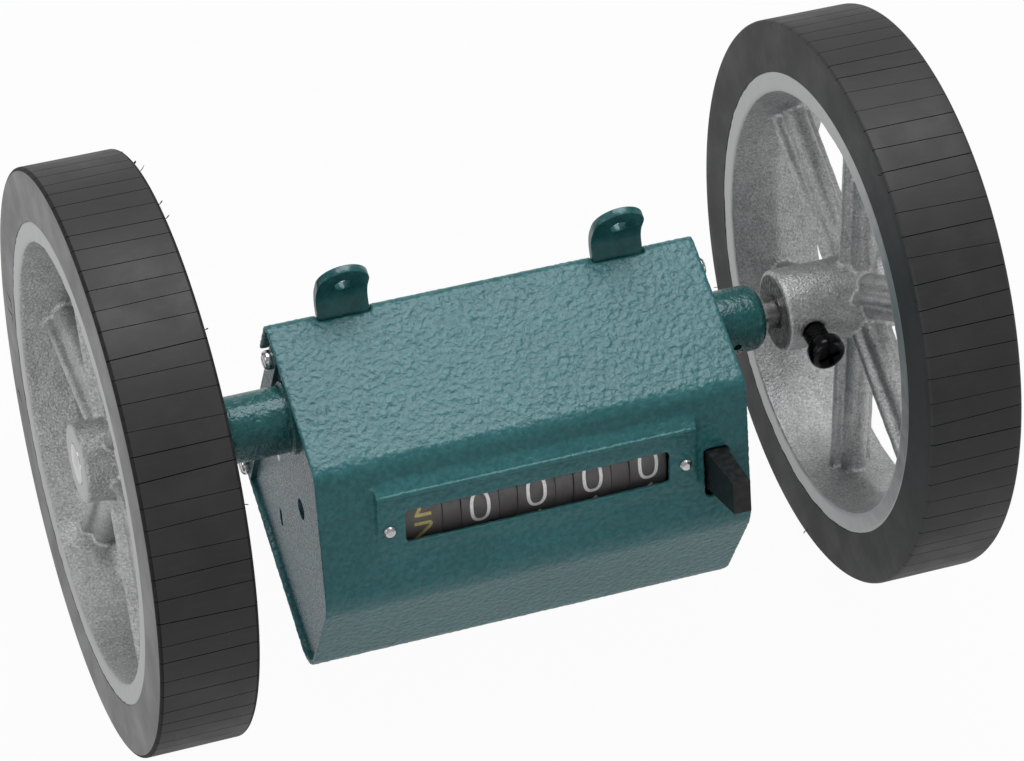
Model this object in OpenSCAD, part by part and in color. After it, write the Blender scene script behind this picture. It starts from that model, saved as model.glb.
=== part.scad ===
// Cable length counter: two rubber tyred measuring wheels on one shaft drive a
// five figure counter in a hanging sheet steel casing with two mounting ears.
// X runs along the wheel shaft, Z is up, and the ears stand upright.
// The origin is on the shaft axis, midway between the wheels.

/* [Measuring wheels] */
// Length that is run off in the stated number of wheel turns
measured_length = 1000; // [900:10:1100]
// Wheel turns in that length
turns_per_length = 3; // [3:1:3]
// Width of a tyre
tyre_w = 17.5; // [16:0.5:19]
// Radial height of the rubber
tyre_h = 9.3; // [7:0.1:11]
// Chamfer of the tyre's edges
tyre_chamfer = 0.9; // [0.4:0.1:1.5]
// Radial height of the rim's face ring
rim_face_h = 3.95; // [3:0.05:5]
// Draft of the rim's inside, from face to middle
rim_draft = 1.4; // [0.8:0.1:2]
// Number of spokes
spoke_count = 6; // [5:1:7]
// Reach of a spoke's rib along the shaft
spoke_axial_reach = 4.1; // [4.1:0.1:5]
// Thickness of that rib
spoke_rib_t = 2.4; // [1.6:0.1:2.4]
// Reach of a spoke's arms across the spoke
spoke_cross_reach = 4.3; // [4.1:0.1:5]
// Thickness of those arms along the shaft
spoke_arm_t = 4.5; // [3.5:0.1:4.5]
// Fillet between a spoke's rib and arms
spoke_fillet = 0.6; // [0.3:0.1:0.6]
// Distance of the spokes outwards from the tyre's middle
spoke_shift = 0.35; // [0:0.05:0.6]
// Angle of the right wheel's first spoke
right_spoke_angle = 1.6; // [0:0.1:59]
// Angle of the left wheel's first spoke
left_spoke_angle = 36.5; // [0:0.5:59]
// Radius of a wheel hub
hub_r = 7.7; // [7:0.1:8.5]
// Radius of a hub at its outer end
hub_end_r = 7.2; // [6.5:0.1:7.6]
// Length of a hub
hub_len = 25.2; // [25.2:0.1:26]
// Length of hub inwards of its tyre
hub_reach = 7.6; // [7.2:0.1:7.6]
// Gap between the left sleeve and its hub
hub_gap = 0.6; // [0.4:0.1:1]

/* [Shaft and sleeves] */
// Shaft radius
shaft_r = 3; // [2.5:0.25:3.25]
// Radius of the shaft's flush head in the left hub
shaft_head_r = 3.65; // [3.5:0.05:4.5]
// Length of that head
shaft_head_len = 1.2; // [0.8:0.1:2]
// Radial running clearance of the shaft in its bushes
shaft_clearance = 0.04; // [0.02:0.01:0.08]
// Sleeve radius
sleeve_r = 6.1; // [5.6:0.1:6.6]
// Length of the left sleeve
left_sleeve_len = 13.25; // [12:0.05:14]
// Length of the right sleeve
right_sleeve_len = 10.65; // [9:0.05:13]
// Rounding of a sleeve's end
sleeve_round = 2.4; // [1:0.1:2.8]
// Outer radius of a bush
bush_r = 3.6; // [3.5:0.05:3.65]
// Radius of the oil hole in the right sleeve
oil_hole_r = 0.8; // [0.5:0.1:1]
// Angle of the oil hole about the shaft
oil_hole_angle = 169; // [120:1:175]
// Radius of a hub screw's shank
hub_screw_r = 2; // [1.5:0.1:2]
// Radius of a hub screw's head
hub_screw_head_r = 3.45; // [3:0.05:3.8]
// Height of a hub screw's head
hub_screw_head_h = 2.7; // [2:0.1:3.2]
// Length of shank left showing above the hub
hub_screw_showing = 4.6; // [3:0.1:6]
// Angle of the hub screws about the shaft
hub_screw_angle = 157; // [120:1:165]
// Distance from a hub's inner end to its screw
hub_screw_in = 4.8; // [4:0.1:5]

/* [Casing] */
// Width of the casing over the cover's edges
casing_w = 81.7; // [78:0.1:88]
// Thickness of the sheet
sheet_t = 1; // [0.8:0.1:1.2]
// Height of the top face over the shaft
top_z = 8.33; // [8.33:0.01:9]
// Depth of the bottom face under the shaft
bottom_z = 41.7; // [40:0.1:44]
// Distance from the shaft to the lower front face
front_y = 33.05; // [33.05:0.05:34]
// Distance from the shaft forward to the top of the sloping front
slope_top_y = 16.05; // [16.05:0.05:17]
// Depth of the slope's lower end under the shaft
slope_low_z = 13.8; // [13.8:0.1:14.4]
// Distance from the shaft back to the rear face
rear_y = 15.5; // [15.5:0.1:16.5]
// Height of the lip at the rear of the top
rear_lip_h = 9; // [7:0.5:10]
// Distance from the shaft to the bottom's rear edge
bottom_rear_y = 12.6; // [12.5:0.1:13.5]
// Outer bend radius at the rear
rear_bend_r = 2; // [1.5:0.1:2.5]
// Outer bend radius at the top of the slope
top_bend_r = 3.5; // [2:0.1:4]
// Outer bend radius at the foot of the slope
slope_bend_r = 8; // [2:0.1:9]
// Outer bend radius at the bottom
bottom_bend_r = 6.2; // [2:0.1:7]
// Thickness of an end plate
plate_t = 1.5; // [1.2:0.1:1.8]
// Distance from the shaft back to the back cover's face
back_y = 12.4; // [12.4:0.1:12.6]
// Depth of the back cover's side flanges
flange_h = 5; // [4.5:0.1:5]
// Radius of the back screws
back_screw_r = 1; // [0.8:0.1:1.2]
// Radius of the back screws' heads
back_screw_head_r = 1.85; // [1.6:0.05:2]
// Height of the back screws' heads
back_screw_head_h = 1.4; // [1:0.1:1.6]

/* [Mounting ears] */
// Half the distance between the ear holes
ear_x = 26.2; // [25:0.1:27]
// Width of an ear
ear_w = 9.75; // [9:0.05:11]
// Height of the ear holes over the top face
ear_hole_h = 5.25; // [5:0.05:7]
// Radius of the ear holes
ear_hole_r = 1.6; // [1.5:0.05:2.2]
// Thickness of the bracket
bracket_t = 1.5; // [1.5:0.1:1.5]
// Half the length of the bracket's strip
bracket_x = 32; // [31.5:0.5:38]
// Distance from the rear face back to an ear's front
ear_set_back = 1.4; // [1:0.1:2]
// Depth of an ear's lower bend under the top face
ear_low_bend = 1.63; // [1.6:0.01:2]
// Height of an ear's upper bend over the top face
ear_high_bend = 1.67; // [1.5:0.01:2]
// Inner radius of an ear's upper bend
ear_bend_r = 4; // [2:0.1:4]
// Room beside an ear in the cover's notch
notch_room = 0.2; // [0.1:0.05:0.5]

/* [Window] */
// Distance from the raised window surround to the casing's edge
surround_side = 10.45; // [10:0.05:11]
// Height of the surround's ridge
surround_h = 1.5; // [1:0.1:1.8]
// Distance from the top of the slope to the ridge
ridge_v = 6.5; // [6:0.1:7]
// Length of the steep side above the ridge
ridge_ramp = 2.6; // [2:0.1:3]
// Length of the gentle side below the ridge
ridge_fade = 13.5; // [12:0.5:14.5]
// Distance from the window to the surround's end
window_side = 5.4; // [4.8:0.1:6]
// Distance from the ridge to the window
window_v = 3.8; // [3:0.1:4.5]
// Height of the window
window_h = 6.7; // [6:0.1:7.5]
// Thickness of the clear pane
pane_t = 0.8; // [0.6:0.1:1]
// Distance from a window pin to the surround's end
window_pin_side = 2.25; // [2.1:0.05:2.5]
// Radius of a window pin's head
window_pin_r = 1.15; // [1:0.05:1.2]

/* [Counter] */
// Number of figure wheels
wheel_count = 5; // [5:1:5]
// Distance between figure wheels as a share of the casing's width
pitch_share = 0.1316; // [0.13:0.0002:0.132]
// Width of a drum as a share of that distance
drum_share = 0.651; // [0.62:0.001:0.655]
// Place of the middle figure wheel as a share of the casing's width
middle_wheel_share = 0.0098; // [0.006:0.0002:0.012]
// Radius of a figure wheel
drum_r = 12; // [11.5:0.1:12]
// Number axle in front of the shaft
axle_y = 12.6; // [12.6:0.1:12.6]
// Number axle under the shaft
axle_z = 12.3; // [12.3:0.1:12.3]
// Radius of the number axle
axle_r = 2; // [1.5:0.1:2]
// Running clearance of the counter's wheels and levers
counter_clearance = 0.04; // [0.02:0.01:0.08]
// Half the backlash that each gear tooth gives
tooth_thin = 0.07; // [0.04:0.01:0.1]
// Angle of the pinion shaft under the number axle
carry_angle = -78; // [-82:1:-76]
// Radius of the pinion shaft
pinion_shaft_r = 1.25; // [1:0.05:1.4]

/* [Reset works] */
// Gap between the reset lever and the right end plate
lever_gap = 1.95; // [1.9:0.05:2.1]
// Place of the lever down the slope
lever_v = 16.15; // [15.5:0.05:17]
// How far the lever stands out
lever_out = 12.2; // [10:0.1:14]
// Height of the lever at its root
lever_root_h = 7.7; // [7:0.1:8]
// Height of the lever at its end
lever_end_h = 6.2; // [5:0.1:7]
// Thickness of the lever at its root
lever_root_t = 4; // [3.5:0.1:4.1]
// Thickness of the lever at its end
lever_end_t = 3.3; // [2.5:0.1:4]
// Depth of the lever's pin behind the slope
lever_pin_depth = 4.3; // [4.2:0.1:4.6]
// Radius of the lever's pin
lever_pin_r = 1.2; // [1:0.05:1.3]
// Angle that the lever swings when pressed
lever_swing = 15; // [5:1:15]
// Room round the lever in its slot
slot_room = 0.25; // [0.2:0.05:0.4]
// Comb shaft in front of the wheel shaft
comb_y = 25; // [25:0.1:25.5]
// Comb shaft under the wheel shaft
comb_z = 27; // [26.5:0.1:27]
// Radius of the comb shaft
comb_shaft_r = 1.5; // [1:0.1:1.6]
// Length of the comb's fingers
finger_len = 16; // [15:0.1:16]
// Angle of the comb's fingers
finger_angle = 72; // [71:1:76]
// Share of the way to the comb shaft at which the lever's arm meets the comb
meeting_share = 0.264; // [0.25:0.002:0.28]

/* [Hidden] */
$fn = 96;

// Small overrun of every cutting shape
over = sheet_t / 10;
bend_steps = 8;
flank_steps = 3;
pressure_angle = 20;

// Wheel sizes
tyre_r = measured_length / (2 * PI * turns_per_length);
rim_r = tyre_r - tyre_h;
rim_face_r = rim_r - rim_face_h;
rim_waist_r = rim_face_r - rim_draft;

// Casing sizes
end_x = casing_w / 2;
plate_x = end_x - sheet_t;
plate_in_x = plate_x - plate_t;
seat_depth = plate_t / 2;
left_sleeve_x = plate_x + left_sleeve_len;
right_sleeve_x = plate_x + right_sleeve_len;
surround_x = end_x - surround_side;
window_x = surround_x - window_side;
window_pin_x = surround_x - window_pin_side;
slope_run = front_y - slope_top_y;
slope_drop = top_z + slope_low_z;
slope_angle = atan2(slope_drop, slope_run);
casing_path = [
    [rear_y, top_z - rear_lip_h],
    [rear_y, top_z],
    [-slope_top_y, top_z],
    [-front_y, -slope_low_z],
    [-front_y, -bottom_z],
    [bottom_rear_y, -bottom_z]
];
casing_bends = [rear_bend_r, top_bend_r, slope_bend_r, bottom_bend_r];

// Wheel places along the shaft
hub_inner_x = left_sleeve_x + hub_gap;
hub_outer_x = hub_inner_x + hub_len;
hub_screw_x = hub_inner_x + hub_screw_in;
tyre_inner_x = hub_inner_x + hub_reach;
tyre_outer_x = tyre_inner_x + tyre_w;
wheel_mid_x = tyre_inner_x + tyre_w / 2;

// Bracket: the strip stands against the rear lip, and each ear is cranked back over the lip
strip_y = rear_y - sheet_t - bracket_t;
ear_y = rear_y + ear_set_back;
ear_low_z = top_z - ear_low_bend;
ear_high_z = top_z + ear_high_bend;
ear_foot_r = bracket_t * 4 / 3;
ear_hole_z = top_z + ear_hole_h;
crank_slope = (ear_y - strip_y) / (ear_high_z - ear_low_z);
crank_start_z = ear_low_z - ear_foot_r * tan(atan(crank_slope) / 2);
notch_y = strip_y + crank_slope * (top_z - sheet_t - ear_low_z) - notch_room;
ear_path = [
    [strip_y, top_z - rear_lip_h],
    [strip_y, ear_low_z],
    [ear_y, ear_high_z],
    [ear_y, ear_hole_z + ear_w]
];

// Counter sizes that follow from the casing's width and the drums' radius
wheel_pitch = casing_w * pitch_share;
drum_w = wheel_pitch * drum_share;
middle_wheel_x = casing_w * middle_wheel_share;
drive_module = drum_r / 20;
counter_module = drum_r * 13 / 240;
carry_module = drum_r / 12;

// Counter places, as [y, z]
axle_at = [-axle_y, -axle_z];
comb_at = [-comb_y, -comb_z];
drive_teeth = 21;
cluster_teeth = 35;
cluster_pinion_teeth = 15;
counter_teeth = 27;
ring_teeth = 20;
carry_teeth = 8;
root_share = 1.15;
first_centres = drive_module * (drive_teeth + cluster_teeth) / 2;
second_centres = counter_module * (cluster_pinion_teeth + counter_teeth) / 2;
carry_centres = carry_module * (ring_teeth + carry_teeth) / 2;
cluster_at = meet([0, 0], first_centres, axle_at, second_centres);
carry_at = axle_at + carry_centres * [cos(carry_angle), sin(carry_angle)];
lever_at = on_slope(lever_v, -lever_pin_depth);

// Layout of one figure wheel along its axle, from the middle of its drum
drum_half = drum_w / 2;
ring_w = drum_w * 3 / 14;
cam_w = drum_w * 11 / 70;
lock_w = drum_w * 6 / 70;
lock_r = drum_r - 2 * lock_w - ring_w / 7;
wheel_hub_r = axle_r * 1.8;
cam_max_r = axle_r * 2.25;
cam_min_r = axle_r * 1.25;
finger_t = cam_w * 7 / 11;

// Curved slot beside the pinion shaft, in degrees
slot_from = -62;
slot_to = -24;

// Places of the lever and the gears along the shaft
lever_x = plate_in_x - lever_gap - lever_root_t / 2;
drive_gear_x = -plate_in_x + plate_t * 1.2;
drive_gear_w = plate_t * 2;
second_gear_x = drive_gear_x + drive_gear_w + plate_t / 2;
second_gear_w = plate_t * 1.7;

// Plane geometry

function unit(v) = v / norm(v);
function left(v) = [-v[1], v[0]];
function turned(v, a) = [v[0] * cos(a) - v[1] * sin(a), v[0] * sin(a) + v[1] * cos(a)];
function heading(p, q) = atan2(q[1] - p[1], q[0] - p[0]);
function flipped(list) = [for (k = [len(list) - 1 : -1 : 0]) list[k]];
function arc(centre, r, a0, a1, steps) =
    [for (k = [0 : steps]) centre + r * turned([1, 0], a0 + (a1 - a0) * k / steps)];

// Crossing of two circles, on the left of the line from the first to the second
function meet(c0, r0, c1, r1) =
    let (d = norm(c1 - c0),
         along = (r0 * r0 - r1 * r1 + d * d) / (2 * d),
         aside = sqrt(r0 * r0 - along * along))
    c0 + along * unit(c1 - c0) + aside * left(unit(c1 - c0));

// Rounded corner of a path, drawn off the path's left side by a depth
function bend(p0, p1, p2, r, depth) =
    let (a = unit(p1 - p0), b = unit(p2 - p1),
         phi = acos(a * b),
         turn = sign(left(a) * b),
         centre = p1 - a * r * tan(phi / 2) + turn * left(a) * r)
    [for (k = [0 : bend_steps])
        centre - turn * (r - turn * depth) * turned(left(a), turn * phi * k / bend_steps)];

function outline(path, radii, depth) =
    let (last = len(path) - 1)
    concat(
        [path[0] + depth * left(unit(path[1] - path[0]))],
        [for (i = [1 : last - 1]) each bend(path[i - 1], path[i], path[i + 1], radii[i - 1], depth)],
        [path[last] + depth * left(unit(path[last] - path[last - 1]))]
    );

function sheet(path, radii, t) = concat(outline(path, radii, 0), flipped(outline(path, radii, t)));

// Point of the sloping front: v down the slope, out from its face
function on_slope(v, out) =
    [-slope_top_y - v * cos(slope_angle) - out * sin(slope_angle),
     top_z - v * sin(slope_angle) + out * cos(slope_angle)];

// Involute gear outline, its first tooth on the first axis
function inv(a) = tan(a) * 180 / PI - a;
function half_tooth(m, z, r) =
    let (pitch_r = m * z / 2, base_r = pitch_r * cos(pressure_angle))
    90 / z - tooth_thin / pitch_r * 180 / PI + inv(pressure_angle) - inv(acos(min(1, base_r / r)));

function gear_points(m, z, addendum) =
    let (pitch_r = m * z / 2,
         base_r = pitch_r * cos(pressure_angle),
         root_r = pitch_r - root_share * m,
         start_r = max(base_r, root_r),
         tip_r = pitch_r + addendum,
         radii = [for (k = [0 : flank_steps]) start_r + (tip_r - start_r) * k / flank_steps],
         rising = concat([[root_r, half_tooth(m, z, start_r)]], [for (r = radii) [r, half_tooth(m, z, r)]]))
    [for (i = [0 : z - 1]) each concat(
        [for (p = rising) p[0] * turned([1, 0], 360 * i / z - p[1])],
        [for (p = flipped(rising)) p[0] * turned([1, 0], 360 * i / z + p[1])])];

// Heart cam outline that grows from its low radius to its high one each way round
function heart_points(r0, r1) =
    [for (a = [-180 : 6 : 174]) (r0 + (r1 - r0) * abs(a) / 180) * turned([1, 0], a)];

function wheel_x(k) = middle_wheel_x + (k - (wheel_count + 1) / 2) * wheel_pitch;

// Placing

// Plane shape [y, z] drawn out along X
module along_x(x0, x1) {
    translate([x0, 0, 0]) rotate([90, 0, 90]) linear_extrude(x1 - x0) children();
}

// Plane shape [radius, x] turned about X
module about_x() {
    rotate([90, 0, 90]) rotate_extrude() children();
}

module at_yz(p) {
    translate([0, p[0], p[1]]) children();
}

module ring(r0, r1, x0, x1) {
    along_x(x0, x1) difference() {
        circle(r1);
        circle(r0);
    }
}

module rod(r, x0, x1) {
    along_x(x0, x1) circle(r);
}

module link_2d(p, q, r) {
    side = r * left(unit(q - p));
    translate(p) circle(r);
    translate(q) circle(r);
    polygon([p + side, p - side, q - side, q + side]);
}

// Local Y runs up the slope and local Z out of it
module on_front() {
    translate([0, -slope_top_y, top_z]) rotate([slope_angle, 0, 0]) children();
}

// Local origin on the ridge, local Y up the surround's face, local Z out of it
module on_surround() {
    on_front() translate([0, -ridge_v, surround_h])
        rotate([atan2(surround_h, ridge_fade), 0, 0]) children();
}

// Casing

function surround_points(rise) = [
    [-(ridge_v - ridge_ramp), rise],
    [-ridge_v, surround_h + rise],
    [-(ridge_v + ridge_fade), rise],
    [-(ridge_v + ridge_fade), -sheet_t],
    [-(ridge_v - ridge_ramp), -sheet_t]
];

module cover() {
    color("cadetblue") difference() {
        union() {
            along_x(-end_x, end_x) polygon(sheet(casing_path, casing_bends, sheet_t));
            on_front() along_x(-surround_x, surround_x) polygon(surround_points(0));
        }
        on_front() along_x(-surround_x + sheet_t, surround_x - sheet_t)
            polygon([
                [-(ridge_v - ridge_ramp), -sheet_t],
                [-ridge_v, surround_h - sheet_t],
                [-(ridge_v + ridge_fade), -sheet_t],
                [-ridge_v, -2 * sheet_t]
            ]);
        on_surround() translate([-window_x, -window_v - window_h, -2 * sheet_t])
            cube([2 * window_x, window_h, 3 * sheet_t]);
        for (s = [-1, 1])
            on_surround() translate([s * window_pin_x, -window_v - window_h / 2, -2 * sheet_t])
                cylinder(r = window_pin_r * 0.6, h = 3 * sheet_t);
        lever_slot();
        for (s = [-1, 1])
            translate([s * ear_x - ear_w / 2 - notch_room, notch_y, crank_start_z])
                cube([ear_w + 2 * notch_room, rear_y, rear_lip_h]);
    }
}

module lever_slot() {
    drop = lever_pin_depth * tan(lever_swing) + slot_room;
    on_front() translate([
            lever_x - lever_root_t / 2 - slot_room,
            -lever_v - lever_root_h / 2 - slot_room - drop,
            -2 * sheet_t])
        cube([lever_root_t + 2 * slot_room, lever_root_h + 2 * slot_room + drop, 3 * sheet_t]);
}

module back_cover() {
    gap = over;
    path = [[end_x, back_y - flange_h], [end_x, back_y], [-end_x, back_y], [-end_x, back_y - flange_h]];
    color("darkslategray") difference() {
        translate([0, 0, -bottom_z + sheet_t + gap])
            linear_extrude(bottom_z + top_z - 2 * sheet_t - 2 * gap)
                polygon(sheet(path, [sheet_t * 1.3, sheet_t * 1.3], sheet_t));
        back_screw_places() rod(back_screw_r, -plate_t, sheet_t + over);
    }
}

// Places of the back screws, local X out of the casing
module back_screw_places() {
    for (s = [-1, 1], z = [top_z - back_screw_r * 4, -bottom_z + back_screw_r * 2.8])
        translate([s * plate_x, back_y - flange_h / 2, z]) rotate([0, 0, s < 0 ? 180 : 0]) children();
}

module back_screws() {
    h = back_screw_head_h;
    r = back_screw_head_r;
    color("silver") back_screw_places() difference() {
        union() {
            rod(back_screw_r, -plate_t * 2, sheet_t + over);
            translate([sheet_t, 0, 0]) about_x() polygon(concat([[0, 0], [r, 0]],
                [for (a = [0 : 15 : 90]) [r - h / 2 + h / 2 * cos(a), h / 2 + h / 2 * sin(a)]], [[0, h]]));
        }
        translate([sheet_t + h * 0.6, -r, -r / 8]) cube([h, 2 * r, r / 4]);
    }
}

// Strip between the back cover and the rear lip, with two ears
module mounting_bracket() {
    color("lightslategray") {
        along_x(-bracket_x, bracket_x)
            translate([strip_y, top_z - rear_lip_h]) square([bracket_t, rear_lip_h / 2]);
        for (s = [-1, 1])
            translate([s * ear_x, 0, 0]) ear();
    }
}

// Cranked profile cut to the ear's rounded outline
module ear() {
    intersection() {
        along_x(-ear_w / 2, ear_w / 2) polygon(sheet(ear_path, [ear_foot_r, ear_bend_r], -bracket_t));
        translate([0, 2 * rear_y, 0]) rotate([90, 0, 0]) linear_extrude(2 * rear_y) ear_2d();
    }
}

// Ear from behind, as [x, z]
module ear_2d() {
    foot_z = top_z - rear_lip_h;
    difference() {
        union() {
            translate([-ear_w, foot_z]) square([2 * ear_w, ear_hole_z - foot_z]);
            translate([0, ear_hole_z]) circle(ear_w / 2);
        }
        translate([0, ear_hole_z]) circle(ear_hole_r);
    }
}

module end_plate(s) {
    color("slategray") mirror([s < 0 ? 1 : 0, 0, 0]) difference() {
        along_x(plate_in_x, plate_x) intersection() {
            polygon(outline(casing_path, casing_bends, sheet_t));
            translate([-front_y, -bottom_z]) square([front_y + back_y - sheet_t, bottom_z + top_z]);
        }
        rod(shaft_r * 1.15, plate_in_x - over, plate_x + over);
        at_yz(axle_at) rod(axle_r, plate_in_x - over, plate_x + over);
        at_yz(carry_at) rod(pinion_shaft_r, plate_in_x - over, plate_in_x + seat_depth);
        at_yz(comb_at) rod(comb_shaft_r, plate_in_x - over, plate_in_x + seat_depth);
        mirror([s < 0 ? 1 : 0, 0, 0]) back_screw_places() rod(back_screw_r, -plate_t - over, over);
        children();
    }
}

module left_end_plate() {
    end_plate(-1) {
        at_yz(cluster_at) rod(pinion_shaft_r * 0.6, plate_in_x - over, plate_x + over);
        at_yz(carry_at) along_x(plate_in_x - over, plate_x + over) arc_slot_2d();
    }
}

// Curved slot beside the pinion shaft
module arc_slot_2d() {
    r = pinion_shaft_r * 4;
    w = pinion_shaft_r * 0.58;
    polygon(concat(
        arc([0, 0], r - w, slot_from, slot_to, bend_steps),
        flipped(arc([0, 0], r + w, slot_from, slot_to, bend_steps))
    ));
}

module right_end_plate() {
    end_plate(1) {
        at_yz(lever_at) rod(lever_pin_r, plate_in_x - over, plate_in_x + seat_depth);
    }
}

// Sleeves and shaft

// Sleeve on the right of the middle, with a flared foot and a rounded end
module sleeve(sleeve_x) {
    foot = sheet_t * 0.6;
    about_x() polygon(concat(
        [[bush_r, plate_x], [sleeve_r + foot, plate_x]],
        arc([sleeve_r + foot, plate_x + 2 * foot], foot, 270, 180, bend_steps),
        arc([sleeve_r - sleeve_round, sleeve_x - sleeve_round], sleeve_round, 0, 90, bend_steps),
        [[bush_r, sleeve_x]]
    ));
}

module left_sleeve() {
    color("teal") mirror([1, 0, 0]) sleeve(left_sleeve_x);
}

module right_sleeve() {
    color("teal") difference() {
        sleeve(right_sleeve_x);
        translate([(plate_x + right_sleeve_x) / 2 - sheet_t, 0, 0]) rotate([oil_hole_angle, 0, 0])
            rotate([-90, 0, 0]) translate([0, 0, bush_r + over]) cylinder(r = oil_hole_r, h = sleeve_r);
    }
}

module left_bush() {
    color("goldenrod") ring(shaft_r + shaft_clearance, bush_r, -left_sleeve_x + over * 2, -plate_x);
}

module right_bush() {
    color("goldenrod") ring(shaft_r + shaft_clearance, bush_r, plate_x, right_sleeve_x - over * 2);
}

module drive_shaft() {
    chamfer = shaft_r / 8;
    color("silver") about_x() polygon([
        [0, -hub_outer_x],
        [shaft_head_r, -hub_outer_x],
        [shaft_head_r, -hub_outer_x + shaft_head_len],
        [shaft_r, -hub_outer_x + shaft_head_len],
        [shaft_r, hub_outer_x - chamfer],
        [shaft_r - chamfer, hub_outer_x],
        [0, hub_outer_x]
    ]);
}

// Wheels

// Cross-shaped spoke section with rounded ends and filleted corners, [across, along the shaft]
function spoke_points() =
    let (t = spoke_rib_t / 2, w = spoke_arm_t / 2, f = spoke_fillet,
         a = spoke_axial_reach, c = spoke_cross_reach)
    concat(
        arc([c - w, 0], w, -90, 90, bend_steps),
        flipped(arc([t + f, w + f], f, 180, 270, bend_steps / 2)),
        arc([0, a - t], t, 0, 180, bend_steps),
        flipped(arc([-t - f, w + f], f, 270, 360, bend_steps / 2)),
        arc([w - c, 0], w, 90, 270, bend_steps),
        flipped(arc([-t - f, -w - f], f, 0, 90, bend_steps / 2)),
        arc([0, t - a], t, 180, 360, bend_steps),
        flipped(arc([t + f, -w - f], f, 90, 180, bend_steps / 2))
    );

// Wheel on the right of the middle, its first spoke at the given angle
module wheel(spoke_angle, screw_angle) {
    crown = tyre_w / 40;
    difference() {
        union() {
            about_x() polygon([
                [rim_face_r, tyre_inner_x],
                [rim_r, tyre_inner_x],
                [rim_r, tyre_outer_x],
                [rim_face_r, tyre_outer_x],
                [rim_waist_r, wheel_mid_x + crown],
                [rim_waist_r, wheel_mid_x - crown]
            ]);
            about_x() polygon([
                [0, hub_inner_x],
                [hub_r - crown, hub_inner_x],
                [hub_r, hub_inner_x + crown],
                [hub_r, wheel_mid_x],
                [hub_end_r, hub_outer_x - crown],
                [hub_end_r - crown, hub_outer_x],
                [0, hub_outer_x]
            ]);
            for (k = [0 : spoke_count - 1])
                translate([wheel_mid_x + spoke_shift, 0, 0])
                    rotate([spoke_angle + 360 * k / spoke_count, 0, 0])
                    translate([0, shaft_r * 1.5, 0]) rotate([-90, 90, 0])
                        linear_extrude(rim_face_r - shaft_r * 1.5) polygon(spoke_points());
        }
        rod(shaft_r, hub_inner_x - over, hub_outer_x + over);
        translate([hub_screw_x, 0, 0]) rotate([screw_angle, 0, 0]) rotate([-90, 0, 0])
            cylinder(r = hub_screw_r, h = hub_r + over);
    }
}

module left_wheel() {
    color("darkgray") difference() {
        mirror([1, 0, 0]) wheel(left_spoke_angle, hub_screw_angle);
        rod(shaft_head_r, -hub_outer_x - over, -hub_outer_x + shaft_head_len);
    }
}

module right_wheel() {
    color("darkgray") wheel(right_spoke_angle, hub_screw_angle);
}

module tyre() {
    c = tyre_chamfer;
    about_x() polygon([
        [rim_r, tyre_inner_x],
        [tyre_r - c, tyre_inner_x],
        [tyre_r, tyre_inner_x + c],
        [tyre_r, tyre_outer_x - c],
        [tyre_r - c, tyre_outer_x],
        [rim_r, tyre_outer_x]
    ]);
}

module left_tyre() {
    color("dimgray") mirror([1, 0, 0]) tyre();
}

module right_tyre() {
    color("dimgray") tyre();
}

module set_screw(s) {
    r = hub_screw_head_r;
    h = hub_screw_head_h;
    under = hub_r + hub_screw_showing;
    slot = hub_screw_r * 0.45;
    cross_angle = 20;
    color("black") translate([s * hub_screw_x, 0, 0]) rotate([hub_screw_angle, 0, 0])
        rotate([-90, 0, 0]) difference() {
            union() {
                translate([0, 0, shaft_r]) cylinder(r = hub_screw_r, h = under - shaft_r + over);
                translate([0, 0, under]) rotate_extrude()
                    polygon(concat(
                        [[0, 0], [r, 0]],
                        arc([r - h / 2, h / 2], h / 2, 0, 90, bend_steps),
                        [[0, h]]
                    ));
            }
            translate([0, 0, under + h]) for (a = [0, 90]) rotate([0, 0, a + cross_angle])
                cube([r * 1.15, slot, h], center = true);
        }
}

// Window

module window_pane() {
    half = surround_x - sheet_t - notch_room;
    color("whitesmoke", 0.4) on_surround() difference() {
        translate([-half, -ridge_fade + sheet_t, -sheet_t - pane_t])
            cube([2 * half, ridge_fade - 2.5 * sheet_t, pane_t]);
        for (s = [-1, 1])
            translate([s * window_pin_x, -window_v - window_h / 2, -2 * sheet_t - pane_t])
                cylinder(r = window_pin_r * 0.6, h = 2 * pane_t + sheet_t);
    }
}

module window_pins() {
    shank = window_pin_r * 0.6;
    dome = window_pin_r * 0.6;
    color("silver") for (s = [-1, 1])
        on_surround() translate([s * window_pin_x, -window_v - window_h / 2, 0]) {
            rotate_extrude() polygon([[0, 0], [window_pin_r, 0], [window_pin_r, dome / 3],
                [window_pin_r * 0.8, dome * 0.8], [window_pin_r * 0.45, dome], [0, dome]]);
            translate([0, 0, -sheet_t - pane_t]) cylinder(r = shank, h = sheet_t + pane_t + over);
            translate([0, 0, -sheet_t - pane_t - dome]) cylinder(r = window_pin_r * 0.8, h = dome);
        }
}

// Counter

module number_axle() {
    color("silver") at_yz(axle_at) rod(axle_r, -plate_in_x - seat_depth, plate_in_x + seat_depth);
}

module number_wheel(k) {
    x = wheel_x(k);
    left_x = x - drum_half;
    color(k == 1 ? "khaki" : "whitesmoke") at_yz(axle_at) difference() {
        union() {
            along_x(left_x - ring_w, left_x + over) rotate(heading(axle_at, carry_at))
                polygon(gear_points(carry_module, ring_teeth, carry_module / 2));
            along_x(left_x - ring_w - cam_w, left_x - ring_w + over) rotate(-finger_angle)
                polygon(heart_points(cam_min_r, cam_max_r));
            rod(drum_r, left_x, x + drum_half);
            rod(lock_r, left_x, x + drum_half + lock_w);
        }
        rod(axle_r + counter_clearance, left_x - ring_w - cam_w - over, x + drum_w);
        ring(wheel_hub_r, lock_r - ring_w, left_x + ring_w, x + drum_w);
    }
}

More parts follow.
